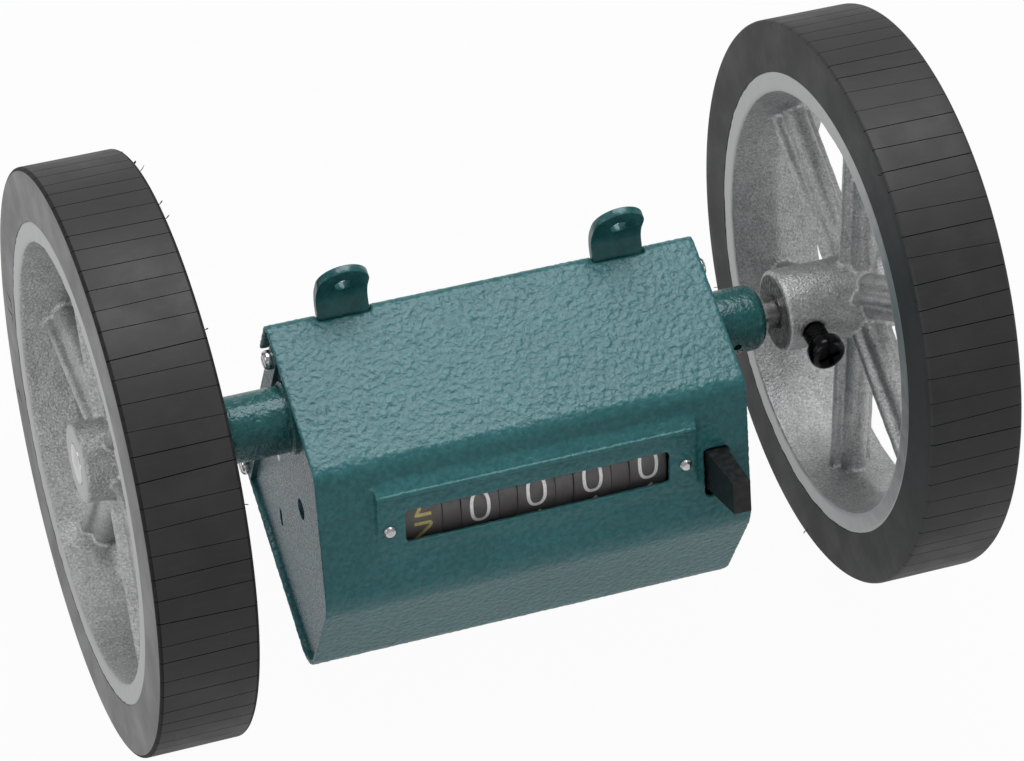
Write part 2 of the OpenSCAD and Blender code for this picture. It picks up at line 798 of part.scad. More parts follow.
module counter_gear() {
    color("peru") at_yz(axle_at) difference() {
        union() {
            along_x(second_gear_x, second_gear_x + second_gear_w) rotate(heading(axle_at, cluster_at))
                polygon(gear_points(counter_module, counter_teeth, counter_module));
            rod(wheel_hub_r, second_gear_x, wheel_x(1) - drum_half - ring_w - cam_w);
        }
        rod(axle_r + counter_clearance, second_gear_x - over, wheel_x(1));
    }
}

module drive_gear() {
    color("goldenrod") difference() {
        union() {
            along_x(drive_gear_x, drive_gear_x + drive_gear_w) rotate(heading([0, 0], cluster_at))
                polygon(gear_points(drive_module, drive_teeth, drive_module));
            rod(shaft_r * 1.5, drive_gear_x, drive_gear_x + 2 * drive_gear_w);
        }
        rod(shaft_r, drive_gear_x - over, drive_gear_x + 3 * drive_gear_w);
    }
}

module cluster_gear() {
    color("goldenrod") at_yz(cluster_at) difference() {
        union() {
            along_x(drive_gear_x, drive_gear_x + drive_gear_w)
                rotate(heading(cluster_at, [0, 0]) + 180 / cluster_teeth)
                    polygon(gear_points(drive_module, cluster_teeth, drive_module));
            along_x(drive_gear_x, second_gear_x + second_gear_w)
                rotate(heading(cluster_at, axle_at) + 180 / cluster_pinion_teeth)
                    polygon(gear_points(counter_module, cluster_pinion_teeth, counter_module));
        }
        rod(pinion_shaft_r + counter_clearance, drive_gear_x - over, second_gear_x + 2 * second_gear_w);
    }
}

module cluster_arbor() {
    head = pinion_shaft_r / 2;
    tip_x = second_gear_x + second_gear_w + plate_t / 4;
    color("silver") at_yz(cluster_at) {
        rod(pinion_shaft_r * 0.6, -plate_x, -plate_in_x + over);
        rod(pinion_shaft_r, -plate_in_x, tip_x + head);
        rod(pinion_shaft_r * 1.6, tip_x, tip_x + head);
    }
}

module pinion_shaft() {
    color("silver") at_yz(carry_at)
        rod(pinion_shaft_r, -plate_in_x - seat_depth, plate_in_x + seat_depth);
}

// Pinion between figure wheel k and the next
module transfer_pinion(k) {
    ring_x = wheel_x(k + 1) - drum_half - ring_w;
    play = ring_w / 5;
    color("peru") at_yz(carry_at) difference() {
        union() {
            along_x(ring_x - play, ring_x + ring_w - play)
                rotate(heading(carry_at, axle_at) + 180 / carry_teeth)
                    polygon(gear_points(carry_module, carry_teeth, carry_module));
            rod(pinion_shaft_r * 2, ring_x - ring_w - play, ring_x);
        }
        rod(pinion_shaft_r + counter_clearance, ring_x - wheel_pitch / 2, ring_x + wheel_pitch / 2);
    }
}

// Reset works

module reset_lever() {
    half_root = lever_root_h / 2;
    half_end = lever_end_h / 2;
    far = lever_pin_depth + lever_out;
    hub = lever_pin_depth - sheet_t - slot_room;
    arm_end = meeting_share * (comb_at - lever_at);
    nose = lever_pin_r * 0.9;
    aside = (nose + slot_room * 0.8) * left(unit(comb_at - lever_at));
    color("black") {
        translate([lever_x, -slope_top_y, top_z]) rotate([slope_angle, 0, 0])
            translate([0, -lever_v, -lever_pin_depth]) difference() {
                intersection() {
                    along_x(-lever_root_t / 2, lever_root_t / 2) union() {
                        circle(hub);
                        polygon([
                            [-hub * 0.9, 0],
                            [-half_root - over, lever_pin_depth - sheet_t],
                            [-half_end, far],
                            [half_end, far],
                            [half_root + over, lever_pin_depth - sheet_t],
                            [hub * 0.9, 0]
                        ]);
                    }
                    rotate([90, 0, 0]) linear_extrude(3 * lever_root_h, center = true) polygon([
                        [-lever_root_t / 2, -2 * hub],
                        [-lever_root_t / 2, lever_pin_depth],
                        [-lever_end_t / 2, far + over],
                        [lever_end_t / 2, far + over],
                        [lever_root_t / 2, lever_pin_depth],
                        [lever_root_t / 2, -2 * hub]
                    ]);
                }
                rod(lever_pin_r + counter_clearance, -lever_root_t, lever_root_t);
            }
        at_yz(lever_at) along_x(lever_x - lever_end_t / 3, lever_x + lever_end_t / 3) difference() {
            link_2d([0, 0], arm_end - aside, nose);
            circle(lever_pin_r + counter_clearance);
        }
    }
}

module lever_pin() {
    head_x = lever_x - lever_root_t / 2 - lever_pin_r;
    color("silver") at_yz(lever_at) {
        rod(lever_pin_r, head_x, plate_in_x + seat_depth);
        rod(lever_pin_r * 1.6, head_x, head_x + lever_pin_r * 0.7);
    }
}

module reset_comb() {
    tube_r = comb_shaft_r * 1.7;
    finger_r = comb_shaft_r * 0.65;
    tip = finger_len * turned([1, 0], finger_angle);
    nose = lever_pin_r * 0.9;
    arm_end = (1 - meeting_share) * (lever_at - comb_at);
    aside = (nose + slot_room * 0.8) * left(unit(lever_at - comb_at));
    arm_x = lever_x - lever_end_t / 3;
    first_x = finger_x(1);
    color("dimgray") at_yz(comb_at) difference() {
        union() {
            rod(tube_r, first_x, lever_x + lever_end_t / 3);
            for (k = [1 : wheel_count])
                along_x(finger_x(k), finger_x(k) + finger_t) link_2d([0, 0], tip, finger_r);
            along_x(arm_x, lever_x + lever_end_t / 3) link_2d([0, 0], arm_end - aside, nose);
        }
        rod(comb_shaft_r + counter_clearance, first_x - over, lever_x + lever_end_t);
    }
}

function finger_x(k) = wheel_x(k) - drum_half - ring_w - (cam_w + finger_t) / 2;

module comb_shaft() {
    color("silver") at_yz(comb_at) rod(comb_shaft_r, -plate_in_x - seat_depth, plate_in_x + seat_depth);
}

// Torsion spring on the lever's pin: a leg, the coil and a second leg
spring_wire_r = lever_pin_r / 5;
spring_r = lever_pin_r * 1.5;
spring_turns = 1.5;
spring_x = lever_x + lever_root_t / 2 + 2.3 * spring_wire_r;
spring_step = 15;
spring_leg = spring_r * 1.6;

function coil_point(a) =
    [spring_x + 2.3 * spring_wire_r * a / 360, spring_r * cos(a), spring_r * sin(a)];
function spring_path() =
    let (last = spring_turns * 360,
         a0 = coil_point(0), a1 = coil_point(last))
    concat(
        [a0 + [0, 0, -spring_leg]],
        [for (a = [0 : spring_step : last]) coil_point(a)],
        [a1 + [0, 0, -spring_leg * 1.2]]
    );

// Tube of eight sides swept along a path that stays near the YZ plane
module tube(path, r) {
    sides = 8;
    n = len(path);
    frames = [for (i = [0 : n - 1])
        let (t = (path[min(i + 1, n - 1)] - path[max(i - 1, 0)]),
             side = [0, -t[2], t[1]] / norm([t[1], t[2]]))
        [for (k = [0 : sides - 1])
            path[i] + r * (side * cos(360 * k / sides) + [1, 0, 0] * sin(360 * k / sides))]];
    points = [for (f = frames) each f];
    faces = concat(
        [[for (k = [sides - 1 : -1 : 0]) k]],
        [for (i = [0 : n - 2], k = [0 : sides - 1])
            let (near = i * sides, far = near + sides, next = (k + 1) % sides)
            [near + k, near + next, far + next, far + k]],
        [[for (k = [0 : sides - 1]) (n - 1) * sides + k]]
    );
    polyhedron(points, faces);
}

module lever_spring() {
    color("gray") at_yz(lever_at) tube(spring_path(), spring_wire_r);
}

cover();
back_cover();
mounting_bracket();
left_end_plate();
right_end_plate();
left_sleeve();
right_sleeve();
left_bush();
right_bush();
drive_shaft();
left_wheel();
right_wheel();
left_tyre();
right_tyre();
set_screw(-1);  // left_set_screw
set_screw(1);  // right_set_screw
window_pane();
window_pins();
back_screws();
number_axle();
number_wheel(1);  // number_wheel_1
number_wheel(2);  // number_wheel_2
number_wheel(3);  // number_wheel_3
number_wheel(4);  // number_wheel_4
number_wheel(5);  // number_wheel_5
counter_gear();
drive_gear();
cluster_gear();
cluster_arbor();
pinion_shaft();
transfer_pinion(1);  // transfer_pinion_1
transfer_pinion(2);  // transfer_pinion_2
transfer_pinion(3);  // transfer_pinion_3
transfer_pinion(4);  // transfer_pinion_4
reset_lever();
lever_pin();
lever_spring();
reset_comb();
comb_shaft();
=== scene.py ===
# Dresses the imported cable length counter: paint, castings, rubber, figures, light and camera.
# Everything is in metres in the part's own frame: X along the shaft, ears upright along Z.
import math

import bmesh
import bpy
import numpy as np
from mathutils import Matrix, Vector


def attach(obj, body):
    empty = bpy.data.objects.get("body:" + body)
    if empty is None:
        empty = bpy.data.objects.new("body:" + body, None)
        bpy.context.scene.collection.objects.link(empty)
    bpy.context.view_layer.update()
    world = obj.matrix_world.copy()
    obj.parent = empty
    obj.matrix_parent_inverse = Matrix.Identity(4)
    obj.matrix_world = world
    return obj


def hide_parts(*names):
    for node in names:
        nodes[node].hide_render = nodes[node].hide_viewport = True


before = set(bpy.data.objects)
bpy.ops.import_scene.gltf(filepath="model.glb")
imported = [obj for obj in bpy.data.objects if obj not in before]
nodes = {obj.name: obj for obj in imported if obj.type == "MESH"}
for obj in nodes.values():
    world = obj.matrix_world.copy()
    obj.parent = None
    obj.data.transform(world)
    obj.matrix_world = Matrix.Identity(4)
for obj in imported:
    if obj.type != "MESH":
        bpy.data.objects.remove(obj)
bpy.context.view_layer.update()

MM = 0.001
TURN = 2 * math.pi

# Sizes in mm that repeat the part's own. Places along X are those on the right
TYRE_R = 53.05
TYRE_IN = 61.3
TYRE_W = 17.5
WHEEL_MID = TYRE_IN + TYRE_W / 2
RIM_HALF = 8.5
RIM_R = 43.75
RIM_FACE_R = 39.8
DRUM_R = 12.0
DRUM_Y = -12.6
DRUM_Z = -12.3
DRUM_MID_X = 0.8
DRUM_PITCH = 10.75
DRUM_HALF = 3.5

# Rounding of CAD edges: joins points closer than WELD mm, rounds edges sharper than EDGE_ANGLE degrees
WELD = 0.001
EDGE_ANGLE = 38

# Edges sharper than this many degrees stay creased on pieces made here
CREASE = 30


# Small helpers
def about_shaft(x, r, a):
    """A place in metres from x and radius r in mm and angle a in radians from +Y about the shaft."""
    return Vector((x, r * math.cos(a), r * math.sin(a))) * MM


def placed(name, data):
    """Adds an object that holds the data to the scene."""
    made = bpy.data.objects.new(name, data)
    bpy.context.scene.collection.objects.link(made)
    return made


def piece(name, mesh, materials, body):
    """Makes an object of a bmesh, dresses it and lets it ride on a body."""
    data = bpy.data.meshes.new(name)
    bmesh.ops.recalc_face_normals(mesh, faces=mesh.faces)
    mesh.to_mesh(data)
    mesh.free()
    for m in materials:
        data.materials.append(m)
    made = placed(name, data)
    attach(made, body)
    return made


def smooth(obj, angle):
    """Shades an object smooth, with creases sharper than the angle in degrees kept."""
    for p in obj.data.polygons:
        p.use_smooth = True
    obj.data.set_sharp_from_angle(angle=math.radians(angle))


def dress(material, *names):
    """Gives CAD nodes a material on all their slots."""
    for name in names:
        for s in nodes[name].material_slots:
            s.material = material


def round_edges(width_mm, *names):
    """Rounds the sharp edges of CAD nodes with a bevel modifier."""
    for name in names:
        weld = nodes[name].modifiers.new("weld", "WELD")
        weld.merge_threshold = WELD * MM
        bevel = nodes[name].modifiers.new("rounded edges", "BEVEL")
        bevel.width = width_mm * MM
        bevel.segments = 3
        bevel.limit_method = "ANGLE"
        bevel.angle_limit = math.radians(EDGE_ANGLE)
        bevel.harden_normals = True


def skin(name, voxel_mm, passes, wave_mm, strength_mm, level):
    """Gives a CAD node soft fillets and the relief of its casting skin or thick paint."""
    obj = nodes[name]
    weld = obj.modifiers.new("weld", "WELD")
    weld.merge_threshold = WELD * MM
    remesh = obj.modifiers.new("even mesh", "REMESH")
    remesh.mode = "VOXEL"
    remesh.voxel_size = voxel_mm * MM
    remesh.use_smooth_shade = True
    soft = obj.modifiers.new("fillets", "SMOOTH")
    soft.factor = 0.5
    soft.iterations = passes
    waves = bpy.data.textures.new(name + " waves", "CLOUDS")
    waves.noise_scale = wave_mm * MM
    waves.noise_depth = 2
    lumps = obj.modifiers.new("relief", "DISPLACE")
    lumps.texture = waves
    lumps.texture_coords = "LOCAL"
    lumps.strength = strength_mm * MM
    lumps.mid_level = level


# Materials
class Look:
    """One material's node tree, built node by node round a Principled shader."""

    def __init__(self, name, **sockets):
        self.material = bpy.data.materials.new(name)
        self.material.use_nodes = True
        self.tree = self.material.node_tree
        self.tree.nodes.clear()
        self.out = self.tree.nodes.new("ShaderNodeOutputMaterial")
        self.shader = self.tree.nodes.new("ShaderNodeBsdfPrincipled")
        self.tree.links.new(self.shader.outputs[0], self.out.inputs[0])
        for key, value in sockets.items():
            self.set(key.replace("_", " "), value)
        self.place = self.add("ShaderNodeTexCoord").outputs["Object"]

    def put(self, socket, value):
        """Links a socket to another, or gives it a plain value."""
        if isinstance(value, bpy.types.NodeSocket):
            self.tree.links.new(value, socket)
        else:
            socket.default_value = value

    def set(self, name, value):
        """Links or sets one input of the shader."""
        self.put(self.shader.inputs[name], value)

    def add(self, kind, inputs=None, **props):
        """Adds a node with its properties and inputs set."""
        node = self.tree.nodes.new(kind)
        for key, value in props.items():
            setattr(node, key, value)
        for key, value in (inputs or {}).items():
            self.put(node.inputs[key], value)
        return node

    def scaled(self, x, y, z):
        """The place, stretched along each axis."""
        node = self.add("ShaderNodeMapping", {"Vector": self.place, "Scale": (x, y, z)})
        return node.outputs[0]

    def noise(self, size_mm, detail=2.0, rough=0.5, bend=0.0, where=None):
        """Noise whose cells are about size_mm across."""
        wanted = {"Vector": where or self.place, "Scale": 1 / (size_mm * MM), "Detail": detail}
        wanted.update({"Roughness": rough, "Distortion": bend})
        return self.add("ShaderNodeTexNoise", wanted).outputs["Fac"]

    def fade(self, value, low, high, to_low=0.0, to_high=1.0):
        """Maps low..high smoothly to to_low..to_high."""
        wanted = {"Value": value, "From Min": low, "From Max": high}
        wanted.update({"To Min": to_low, "To Max": to_high})
        node = self.add("ShaderNodeMapRange", wanted, interpolation_type="SMOOTHSTEP")
        return node.outputs["Result"]

    def calc(self, kind, a, b=0.0, c=None):
        """The result of one math operation on two or three values."""
        node = self.add("ShaderNodeMath", operation=kind)
        self.put(node.inputs[0], a)
        self.put(node.inputs[1], b)
        if c is not None:
            self.put(node.inputs[2], c)
        return node.outputs[0]

    def blend(self, share, a, b):
        """Mixes two colours."""
        node = self.add("ShaderNodeMix", data_type="RGBA")
        self.put(node.inputs["Factor"], share)
        self.put(node.inputs[6], a)
        self.put(node.inputs[7], b)
        return node.outputs[2]

    def axes(self):
        """The place's x, y and z."""
        return self.add("ShaderNodeSeparateXYZ", {"Vector": self.place}).outputs

    def radius(self):
        """Distance from the shaft's axis in metres."""
        _, y, z = self.axes()
        squares = self.calc("ADD", self.calc("MULTIPLY", y, y), self.calc("MULTIPLY", z, z))
        return self.calc("SQRT", squares)

    def bump(self, height, depth_mm, strength=1.0):
        """Gives the shader a fine relief of this depth."""
        wanted = {"Height": height, "Distance": depth_mm * MM, "Strength": strength}
        self.set("Normal", self.add("ShaderNodeBump", wanted).outputs[0])


def grey(v):
    return (v, v, v, 1.0)


def hammertone(name, dark, pale, grain, depth, rough):
    """Stoved hammer paint: a glossy pebbled skin with painted shade in its hollows and a painted
    highlight on its pebbles.
    """
    look = Look(name, Coat_Weight=0.08, Coat_Roughness=0.2, Specular_IOR_Level=0.47)
    look.set("Specular Tint", (0.86, 1.0, 1.1, 1))
    coarse = look.noise(1.25 * grain, 1.0, 0.4, 0.35)
    fine = look.noise(0.6 * grain, 1.0, 0.5, 0.2)
    height = look.calc("MULTIPLY_ADD", fine, 0.35, coarse)
    drift = look.noise(14, 2)
    # Painted shade and highlight: the tone follows the relief, dark in the hollows and pale on the
    # pebbles.
    colour = look.blend(look.fade(height, 0.45, 0.9), dark, pale)
    deep = tuple(c * 0.8 for c in dark[:3]) + (1,)
    colour = look.blend(look.fade(drift, 0.3, 0.7, 0.0, 0.3), colour, deep)
    look.set("Base Color", colour)
    look.set("Roughness", look.fade(fine, 0.3, 0.7, rough - 0.05, rough + 0.08))
    look.bump(height, depth)
    return look.material


def bright_metal(name, colour, rough, line_mm=0.12):
    """Turned or drawn metal with fine lines round its axis and faint stains."""
    look = Look(name, Metallic=1.0)
    lines = look.noise(1.0, 2, 0.5, 0, look.scaled(1 / line_mm, 0.15, 0.15))
    stain = look.noise(3.5, 3)
    stained = tuple(c * 0.7 for c in colour[:3]) + (1,)
    look.set("Base Color", look.blend(look.fade(stain, 0.35, 0.75, 0, 0.5), colour, stained))
    look.set("Roughness", look.fade(stain, 0.3, 0.75, rough - 0.06, rough + 0.14))
    look.bump(lines, 0.012, 0.5)
    return look.material


# Where the casting is turned bright or darkened by painted shade, in mm: radii, and distances from a
# wheel's middle
HUB_FACE_R = 7.0
HUB_SHADE_FROM = 16.0


def casting_look():
    """Sand grey cast aluminium with turned rim faces, bright outer hub ends and painted shade on the
    inner hub ends.
    """
    look = Look("cast aluminium", Metallic=0.92)
    mottle = look.noise(3.4, 3, 0.6)
    grain = look.noise(0.45, 2, 0.6)
    cast = look.blend(look.fade(mottle, 0.3, 0.7), (0.40, 0.402, 0.405, 1), (0.49, 0.492, 0.495, 1))
    cast = look.blend(look.fade(grain, 0.5, 0.66, 0.0, 0.6), cast, (0.70, 0.702, 0.705, 1))
    cast = look.blend(look.fade(grain, 0.44, 0.32, 0.0, 0.55), cast, (0.20, 0.201, 0.203, 1))
    r = look.radius()
    x, _, _ = look.axes()
    outward = look.calc("SUBTRACT", look.calc("ABSOLUTE", x), WHEEL_MID * MM)
    at_face = look.fade(look.calc("ABSOLUTE", outward), (RIM_HALF - 0.15) * MM, RIM_HALF * MM)
    on_rim = look.fade(r, (RIM_FACE_R - 0.1) * MM, (RIM_FACE_R + 0.1) * MM)
    ring = look.calc("MULTIPLY", at_face, on_rim)
    past_rim = look.fade(outward, RIM_HALF * MM, (RIM_HALF + 0.1) * MM)
    hub = look.calc("MULTIPLY", past_rim, look.fade(r, HUB_FACE_R * MM, (HUB_FACE_R - 0.1) * MM))
    turned = look.calc("MAXIMUM", ring, hub)
    # Painted shade: the inner hub end round the shaft's entry is mixed towards near black.
    at_end = look.fade(outward, -HUB_SHADE_FROM * MM, -(HUB_SHADE_FROM + 0.15) * MM)
    painted_end_shade = look.calc("MULTIPLY", at_end, look.fade(r, HUB_FACE_R * MM, (HUB_FACE_R - 0.2) * MM))
    painted_end_shade = look.calc("MULTIPLY", painted_end_shade, look.fade(look.noise(0.8, 3), 0.4, 0.6, 0.7, 1.0))
    colour = look.blend(turned, cast, (0.50, 0.502, 0.505, 1))
    look.set("Base Color", look.blend(painted_end_shade, colour, (0.07, 0.068, 0.066, 1)))
    look.set("Roughness", look.calc("SUBTRACT", 0.5, look.calc("MULTIPLY", turned, 0.06)))
    sand = look.calc("MULTIPLY", look.noise(0.42, 2, 0.6), look.calc("SUBTRACT", 1.0, turned))
    look.bump(sand, 0.15)
    return look.material


# Distance from the middle of the part beyond which the rubber's outer side carries painted sheen and
# shows greyer, in mm
PAINTED_SHEEN_FROM = 78.6
PAINTED_SHEEN_FULL = 78.75


def rubber_look():
    """Moulded rubber, matt, with dust, faint rubbing marks and painted sheen that greys its outer side.
    """
    look = Look("tyre rubber", Specular_IOR_Level=0.5)
    dust = look.noise(9, 5, 0.6)
    streak = look.noise(1.0, 3, 0.6, 0.3, look.scaled(0.25, 1, 1))
    base = look.blend(look.fade(dust, 0.35, 0.75), (0.018, 0.018, 0.019, 1), (0.026, 0.026, 0.027, 1))
    base = look.blend(look.fade(streak, 0.5, 0.8, 0, 0.3), base, (0.040, 0.040, 0.042, 1))
    x, _, _ = look.axes()
    outer = look.fade(look.calc("ABSOLUTE", x), PAINTED_SHEEN_FROM * MM, PAINTED_SHEEN_FULL * MM, 0.0, 0.85)
    # Painted sheen: the outer side is mixed towards grey to stand for light reflected along it.
    look.set("Base Color", look.blend(outer, base, grey(0.12)))
    rough = look.fade(dust, 0.3, 0.7, 0.5, 0.64)
    look.set("Roughness", look.calc("SUBTRACT", rough, look.calc("MULTIPLY", outer, 0.2)))
    look.bump(look.noise(0.5, 3, 0.6), 0.02, 0.4)
    return look.material


def cut_shade_look():
    """Painted shade standing for the inside of a cut: near black, mottled."""
    look = Look("rubber cut painted shade", Specular_IOR_Level=0.1)
    shade = look.noise(0.8, 2)
    look.set("Base Color", look.blend(shade, grey(0.004), grey(0.010)))
    look.set("Roughness", look.fade(shade, 0.3, 0.7, 0.8, 0.95))
    return look.material


def shoulder_shade_look():
    """A dark band of painted shade along the edge between a tyre's side and its tread, mottled."""
    look = Look("rubber shoulder painted shade", Specular_IOR_Level=0.25)
    shade_mottle = look.noise(2.4, 4, 0.7)
    look.set("Base Color", look.blend(look.fade(shade_mottle, 0.35, 0.65), grey(0.006), grey(0.02)))
    look.set("Roughness", look.fade(shade_mottle, 0.3, 0.7, 0.6, 0.8))
    look.bump(look.noise(0.6, 3), 0.03, 0.6)
    return look.material


def drum_look(name, dark, pale):
    """Dark satin of the figure wheels and gears, a little worn."""
    look = Look(name, Specular_IOR_Level=0.4)
    wear = look.noise(2.2, 3)
    look.set("Base Color", look.blend(look.fade(wear, 0.3, 0.7), dark, pale))
    look.set("Roughness", look.fade(wear, 0.3, 0.7, 0.38, 0.5))
    look.bump(look.noise(0.5, 2), 0.01, 0.4)
    return look.material


def ink_look(name, pale, dark):
    """Figure ink with specks of dirt."""
    look = Look(name, Specular_IOR_Level=0.35)
    wear = look.noise(0.45, 3, 0.6)
    look.set("Base Color", look.blend(look.fade(wear, 0.25, 0.6), dark, pale))
    look.set("Roughness", look.fade(wear, 0.3, 0.7, 0.45, 0.6))
    look.bump(wear, 0.01, 0.4)
    return look.material


def pane_look():
    """Clear plastic with faint rub marks."""
    look = Look("clear pane", Transmission_Weight=1.0, IOR=1.15)
    rub = look.noise(6, 3)
    look.set("Base Color", look.blend(rub, grey(0.93), grey(0.99)))
    look.set("Roughness", look.fade(rub, 0.4, 0.7, 0.0, 0.03))
    look.bump(look.noise(9, 2), 0.01, 0.1)
    return look.material


def satin_plastic(name, dark, pale, rough):
    """Black plastic, worn paler in places."""
    look = Look(name)
    wear = look.noise(1.4, 4, 0.6)
    look.set("Base Color", look.blend(look.fade(wear, 0.4, 0.8), dark, pale))
    look.set("Roughness", look.fade(wear, 0.3, 0.7, rough, rough + 0.14))
    look.bump(look.noise(0.3, 3), 0.012, 0.4)
    return look.material


# The hammer paints as (dark, pale) colours, the painted shade of the hollows and the painted highlight of
# the pebbles. Grain is a scale, and depth is in mm
PAINT_COLOURS = (0.022, 0.120, 0.126, 1), (0.036, 0.160, 0.168, 1)
SLEEVE_COLOURS = (0.012, 0.082, 0.082, 1), (0.022, 0.120, 0.120, 1)
BACK_COLOURS = (0.014, 0.075, 0.078, 1), (0.024, 0.105, 0.110, 1)
# The end plates' colours are the green paint turned grey-blue: a painted sheen.
PLATE_SHEEN_COLOURS = (0.024, 0.085, 0.108, 1), (0.038, 0.125, 0.155, 1)
EAR_COLOURS = (0.016, 0.085, 0.086, 1), (0.026, 0.120, 0.122, 1)

PAINT = hammertone("hammer paint", *PAINT_COLOURS, grain=0.85, depth=0.18, rough=0.33)
SLEEVE = hammertone("sleeve paint", *SLEEVE_COLOURS, grain=0.8, depth=0.2, rough=0.25)
DARK = hammertone("back cover paint", *BACK_COLOURS, grain=0.85, depth=0.18, rough=0.33)
PLATE_PAINT_AND_SHEEN = hammertone("end plate paint and sheen", *PLATE_SHEEN_COLOURS, grain=0.5, depth=0.14, rough=0.24)
EAR = hammertone("bracket paint", *EAR_COLOURS, grain=1.6, depth=0.12, rough=0.22)
STEEL = bright_metal("bright steel", (0.66, 0.66, 0.67, 1), rough=0.22)
BEARING = bright_metal("sintered bronze", (0.42, 0.27, 0.13, 1), rough=0.4)
BLACKED = bright_metal("blacked steel", (0.02, 0.02, 0.022, 1), rough=0.2, line_mm=0.2)
CASTING = casting_look()
RUBBER = rubber_look()
CUT_SHADE = cut_shade_look()
SHOULDER_SHADE = shoulder_shade_look()
DRUM = drum_look("drum", (0.070, 0.065, 0.066, 1), (0.100, 0.093, 0.094, 1))
DRUM_LOW = drum_look("low drum", (0.076, 0.068, 0.066, 1), (0.105, 0.094, 0.090, 1))
GEAR = drum_look("gear", (0.03, 0.03, 0.03, 1), (0.08, 0.08, 0.08, 1))
WHITE = ink_look("white figure", (0.86, 0.86, 0.85, 1), (0.68, 0.68, 0.67, 1))
YELLOW = ink_look("yellow figure", (0.52, 0.44, 0.16, 1), (0.34, 0.28, 0.10, 1))
PANE = pane_look()
LEVER = satin_plastic("black lever", (0.006, 0.006, 0.007, 1), (0.02, 0.02, 0.021, 1), rough=0.36)
COMB = bright_metal("comb steel", (0.45, 0.45, 0.46, 1), rough=0.35)

dress(PAINT, "cover")
dress(SLEEVE, "left_sleeve", "right_sleeve")
dress(DARK, "back_cover")
dress(PLATE_PAINT_AND_SHEEN, "left_end_plate", "right_end_plate")
dress(EAR, "mounting_bracket")
dress(STEEL, "drive_shaft", "number_axle", "pinion_shaft", "comb_shaft", "cluster_arbor")
dress(STEEL, "back_screws", "window_pins", "lever_pin", "lever_spring")
dress(BEARING, "left_bush", "right_bush")
dress(BLACKED, "left_set_screw", "right_set_screw")
dress(CASTING, "left_wheel", "right_wheel")
dress(PANE, "window_pane")
dress(LEVER, "reset_lever")
dress(COMB, "reset_comb")
dress(GEAR, "counter_gear", "drive_gear", "cluster_gear")
dress(GEAR, *["transfer_pinion_%d" % k for k in (1, 2, 3, 4)])
dress(DRUM_LOW, "number_wheel_1")
dress(DRUM, *["number_wheel_%d" % k for k in (2, 3, 4, 5)])

for wheel in ("left_wheel", "right_wheel"):
    skin(wheel, voxel_mm=0.36, passes=3, wave_mm=3.2, strength_mm=0.2, level=0.62)
skin("cover", voxel_mm=0.34, passes=4, wave_mm=0.8, strength_mm=0.24, level=0.6)
round_edges(0.28, "mounting_bracket")
round_edges(0.22, "left_end_plate", "right_end_plate", "back_cover")
round_edges(0.35, "reset_lever")
round_edges(0.12, "left_set_screw", "right_set_screw", "drive_shaft", "back_screws")


# Tyres, with fine cuts (sipes) across the tread. Lengths in mm, phase in degrees, lean in radians
SIPES = 78
SIPE_PHASE = -0.3
SIPE_JITTER_SHARE = 0.1
SIPE_LEAN = 0.012
SIPE_HALF = 0.075
SIPE_HALF_SHARES = (0.6, 1.2)
SIPE_DEPTH = 0.45
SIPE_DEPTH_SHARES = (0.3, 1.0)
SIPE_REACH_SHARE = 0.75
TYRE_LIP = 0.3
SHOULDER = 0.6
SHOULDER_SLACK_SHARE = 0.01

# Rows of points between two cuts, up a side, round a shoulder and across the tread
BETWEEN = 5
SIDE_ROWS = 5
SHOULDER_STEPS = 4
TREAD_POINTS = 9


def tyre_profile():
    """Closed section of a tyre as (x from its middle, radius), from one bore edge to the other."""
    half = TYRE_W / 2
    pts = [(-half, RIM_R - TYRE_LIP)]
    for k in range(SIDE_ROWS):
        pts.append((-half, RIM_R + (TYRE_R - SHOULDER - RIM_R) * (k + 1) / SIDE_ROWS))
    for k in range(1, SHOULDER_STEPS):
        a = math.pi / 2 * k / SHOULDER_STEPS
        pts.append((-half + SHOULDER * (1 - math.cos(a)), TYRE_R - SHOULDER + SHOULDER * math.sin(a)))
    tread = [(x, TYRE_R) for x in np.linspace(-half + SHOULDER, half - SHOULDER, TREAD_POINTS)]
    return pts + tread + [(-x, r) for x, r in reversed(pts)]


